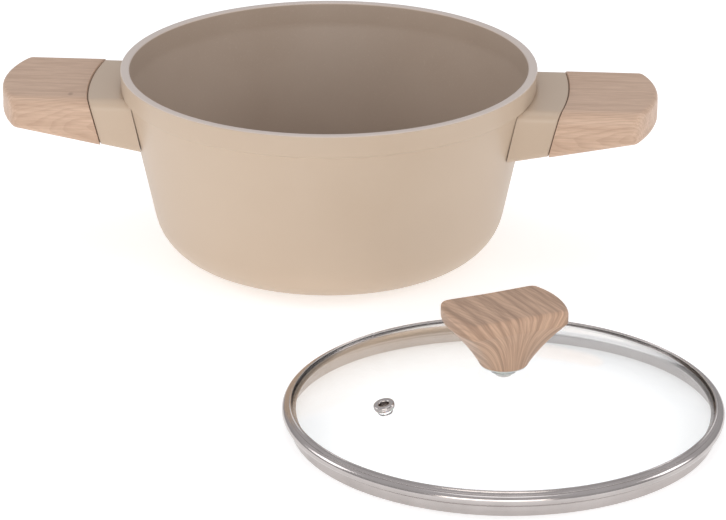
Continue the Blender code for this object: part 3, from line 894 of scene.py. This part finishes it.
band_low, soft = crown - 0.0085, 0.0027
rings = [knob_ring(foot_z, 0.0, 0.0005, shrink) for shrink in (0.0, 0.5, 0.9, 1.0)]
rings += [knob_ring(foot_z + 0.0004, 0.0, 0.0001), knob_ring(foot_z + 0.0008, 0.0, 0.0)]
for step in range(1, 17):
    share = step / 16
    rings.append(knob_ring(foot_z + 0.0008 + (band_low - foot_z - 0.0008) * share,
                           0.72 * share + 0.28 * share ** 2, 0.0))
rings[-1] = knob_ring(band_low - 0.0004, 0.985, 0.0)
rings += [knob_ring(band_low + 0.0006, 0.998, 0.0), knob_ring(band_low + 0.0018, 1.0, 0.0)]
for step in range(8):
    angle = math.radians(90.0 * step / 7)
    rings.append(knob_ring(crown - 0.0005 - soft + soft * math.sin(angle), 1.0, soft - soft * math.cos(angle)))
rings += [knob_ring(crown - 0.0005 * shrink ** 2, 1.0, soft, shrink) for shrink in (0.9, 0.7, 0.45, 0.2, 0.0)]


def unrolled(rings):
    """Each point's place if the skin were peeled off and laid flat, from the top's centre outwards."""
    flow = [[Vector((0.0, 0.0, 0.0)) for _ in rings[0]] for _ in rings]
    for column in range(len(rings[0])):
        angle, length = 2 * math.pi * column / len(rings[0]), 0.0
        for row in range(len(rings) - 2, -1, -1):
            length += math.dist(rings[row][column], rings[row + 1][column])
            flow[row][column] = Vector((-length * math.sin(angle), length * math.cos(angle), 0.0))
    return flow


knob = roll("knob", rings, 50.0, unrolled(rings))
knob_wood = wood("wood_knob", (0.010, 0.012, -0.010), (0.0, 0.0, math.radians(4.0)), 0.0026, 0.012, 0.22, 0.30, 0.72,
                 printed=True, pale=(0.595, 0.392, 0.270), brown=(0.270, 0.165, 0.108))
knob.data.materials.append(knob_wood)
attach(knob, "lid")
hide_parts("lid_knob")
show_made(knob)

# %% [markdown]
# ## Finishes for the small parts
# The brackets, seals, washers and the base plate keep their measured shapes and only get the
# right finish.

# %% Small parts
finishes = {"handle_bracket": plain_steel, "seam_gasket": seam_rubber, "grip_washer": spring_steel,
            "vent_seal": silicone, "knob_insert": brass, "knob_seal": silicone, "knob_washer": plain_steel,
            "knob_screw": plain_steel, "induction_base_plate": plain_steel, "pot_shell": outside_coat,
            "handle_neck": outside_coat, "handle_grip": grip_woods["right"], "grip_screw": plain_steel,
            "lid_glass": lid_glass_finish, "lid_rim": rim_steel, "vent_eyelet": plain_steel, "lid_knob": knob_wood}
for name, node in nodes.items():
    chosen = [material for start, material in finishes.items() if name.startswith(start)]
    if not node.material_slots:
        node.data.materials.append(chosen[0])
    for holder in node.material_slots:
        holder.material = chosen[0]
print("finished", len(nodes), "measured parts")

# %% [markdown]
# ## Table and light
# The table is plain and pale, with a faint glow of its own like a light table. The glow is painted light: it
# keeps the table white, washes out the pot's shadow on it and lights the pot from below, without drowning the pot.
# A wide soft light stands low behind the camera, so the inside of the pot darkens with depth. A weak one hangs
# above, and one on each side lights the tops of the handles. The sky is soft grey with a brighter top.

# %% Table
deselect()
bpy.ops.mesh.primitive_circle_add(vertices=96, radius=9.0, fill_type="NGON", location=(0.0, 0.0, -0.0002))
table = bpy.context.object
table.name = "table"
pale, tree, shader = new_material("pale_glowing_table", Roughness=0.9)
shader.inputs["Base Color"].default_value = (0.80, 0.80, 0.80, 1.0)
# The emission is painted light: the table glows though it is no lamp, filling the pot's shadow on it.
shader.inputs["Emission Color"].default_value = (1.0, 1.0, 1.0, 1.0)
shader.inputs["Emission Strength"].default_value = 0.50
shader.inputs["Specular IOR Level"].default_value = 0.1
table.data.materials.append(pale)
print("table ready")

# %% [markdown]
# ## The lights
# Soft area lights stand in for studio softboxes. They are rectangles, as softboxes are, and the
# white backdrop is only seen by the camera, so it does not flood the pot.

# %% Lights
def soft_light(name, place, aim, size, power, colour):
    data = bpy.data.lights.new(name, "AREA")
    data.shape = "RECTANGLE"
    data.size, data.size_y = size
    data.energy = power
    data.color = colour
    light = bpy.data.objects.new(name, data)
    light.location = place
    light.rotation_euler = (Vector(aim) - Vector(place)).to_track_quat("-Z", "Y").to_euler()
    bpy.context.scene.collection.objects.link(light)


soft_light("front", (0.05, -2.5, 0.60), (0.0, 0.0, 0.06), (2.2, 1.0), 20.0, (1.0, 0.955, 0.91))
soft_light("above", (0.1, -0.2, 2.2), (0.0, 0.0, 0.05), (1.0, 1.0), 3.5, (0.97, 0.98, 1.0))
soft_light("left", (-1.9, 0.1, 1.1), (0.0, 0.0, 0.08), (0.9, 0.9), 7.0, (0.98, 0.98, 1.0))
soft_light("right", (2.1, 0.1, 1.1), (0.0, 0.0, 0.08), (0.9, 0.9), 7.5, (0.98, 0.98, 1.0))
world = bpy.data.worlds.new("studio")
bpy.context.scene.world = world
world.use_nodes = True
tree = world.node_tree
direction = add_node(tree, "ShaderNodeTexCoord")
parts = add_node(tree, "ShaderNodeSeparateXYZ")
tree.links.new(direction.outputs["Generated"], parts.inputs[0])
sky = spread(tree, parts.outputs["Z"], 0.0, 0.8)
background = tree.nodes["Background"]
feed(tree, background.inputs["Color"], blend(tree, sky, (0.46, 0.46, 0.47), (0.66, 0.66, 0.68)))
background.inputs["Strength"].default_value = 1.0
white = add_node(tree, "ShaderNodeBackground")
white.inputs["Color"].default_value = (0.96, 0.96, 0.96, 1.0)
ray = add_node(tree, "ShaderNodeLightPath")
choose = add_node(tree, "ShaderNodeMixShader")
tree.links.new(ray.outputs["Is Camera Ray"], choose.inputs["Fac"])
tree.links.new(background.outputs["Background"], choose.inputs[1])
tree.links.new(white.outputs["Background"], choose.inputs[2])
tree.links.new(choose.outputs["Shader"], tree.nodes["World Output"].inputs["Surface"])
bpy.context.scene.view_settings.view_transform = "Standard"
print("soft lights and a grey sky")

# %% [markdown]
# ## Finish
# The selection is cleared at the end.

# %% Finish
deselect()
